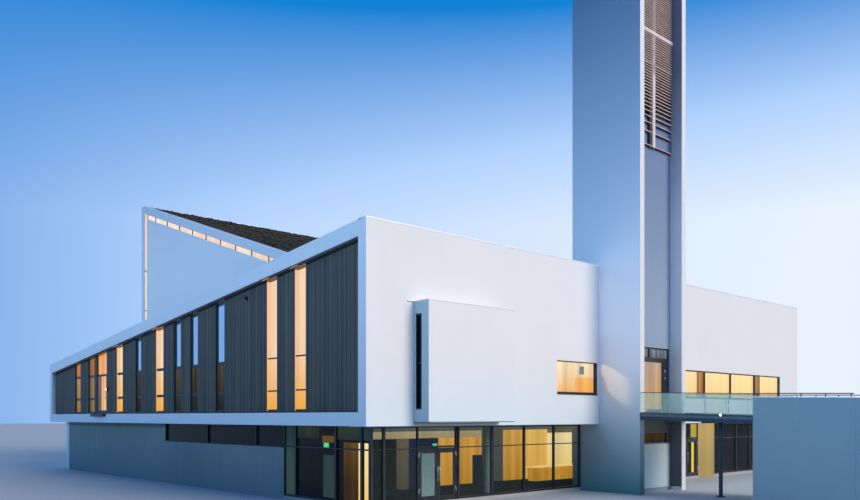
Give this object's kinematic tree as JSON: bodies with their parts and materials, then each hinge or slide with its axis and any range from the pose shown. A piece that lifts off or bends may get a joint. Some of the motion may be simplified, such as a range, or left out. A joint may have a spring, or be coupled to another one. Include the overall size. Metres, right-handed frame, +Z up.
{
  "type": "modern church building, scale model 1:2",
  "caption": "Low white church with a tall louvred tower, a glass-sided entrance bridge, timber-clad sides with slot windows and a sloping planted hall roof.",
  "frame": {"origin": "centre of the overall plan, on the level the walls stand on", "axes": "+X along the front facade to the right, +Y from the front into the depth, +Z up"},
  "size_m": [17.65, 22.575, 13.5],
  "materials": {
    "render": "white mineral render, matt",
    "timber": "dark weathered vertical boards",
    "louvre": "pale painted slats",
    "concrete": "smooth concrete",
    "roofing": "grey roofing sheet",
    "planting": "low mottled planting",
    "window_glass": "clear glass, lit warm from inside",
    "guard_glass": "clear greenish guard glass",
    "steel": "dark blue-grey paint",
    "dark_metal": "near-black powder coat, glazed"
  },
  "bodies": {
    "building": {"back_glass_lower": "window_glass", "back_glass_upper": "window_glass", "back_wall": "render", "bay_box": "render", "bay_glass": "window_glass", "bridge_column": "steel", "bridge_deck": "steel", "bridge_guard_left": "guard_glass", "bridge_guard_right": "guard_glass", "court_frame": "dark_metal", "court_glass_left": "window_glass", "court_glass_right": "window_glass", "court_wall": "render", "entrance_frame": "dark_metal", "entrance_glass_left": "window_glass", "entrance_glass_right": "window_glass", "front_glass_left": "window_glass", "front_glass_right": "window_glass", "front_wall_left": "render", "front_wall_right": "render", "ground_slab": "concrete", "hall_fascia_left": "render", "hall_fascia_right": "render", "hall_glass_left": "window_glass", "hall_glass_right": "window_glass", "hall_roof": "planting", "hall_wall_left": "render", "hall_wall_right": "render", "inner_column": "concrete", "lower_glass_left": "window_glass", "lower_glass_right": "window_glass", "lower_wall_left": "render", "lower_wall_right": "render", "main_roof": "roofing", "ramp_core": "concrete", "ramp_wall_left": "render", "ramp_wall_right": "render", "side_frame_left": "render", "side_frame_right": "render", "side_glass_left": "window_glass", "side_glass_right": "window_glass", "timber_wall_left": "timber", "timber_wall_right": "timber", "tower_cap": "render", "tower_core": "render", "tower_door_glass": "window_glass", "tower_louvres_back": "louvre", "tower_louvres_front": "louvre", "tower_low_glass": "window_glass", "tower_slab_left": "render", "tower_slab_right": "render", "upper_floor": "concrete"},
    "entrance_leaf_left": {"entrance_door_left": "dark_metal"},
    "entrance_leaf_right": {"entrance_door_right": "dark_metal"},
    "court_leaf": {"court_door": "dark_metal"}
  },
  "joints": [
    {"name": "entrance_left_hinge", "type": "hinge", "parent": "building", "child": "entrance_leaf_left", "pos_m": [-7.0965, -5.1445, 0.6], "axis": [0, 0, -1], "range_deg": [0, 90]},
    {"name": "entrance_right_hinge", "type": "hinge", "parent": "building", "child": "entrance_leaf_right", "pos_m": [-6.0935, -5.1445, 0.6], "axis": [0, 0, 1], "range_deg": [0, 90]},
    {"name": "court_hinge", "type": "hinge", "parent": "building", "child": "court_leaf", "pos_m": [3.4965, -5.1445, 0.6], "axis": [0, 0, 1], "range_deg": [0, 90]}
  ]
}
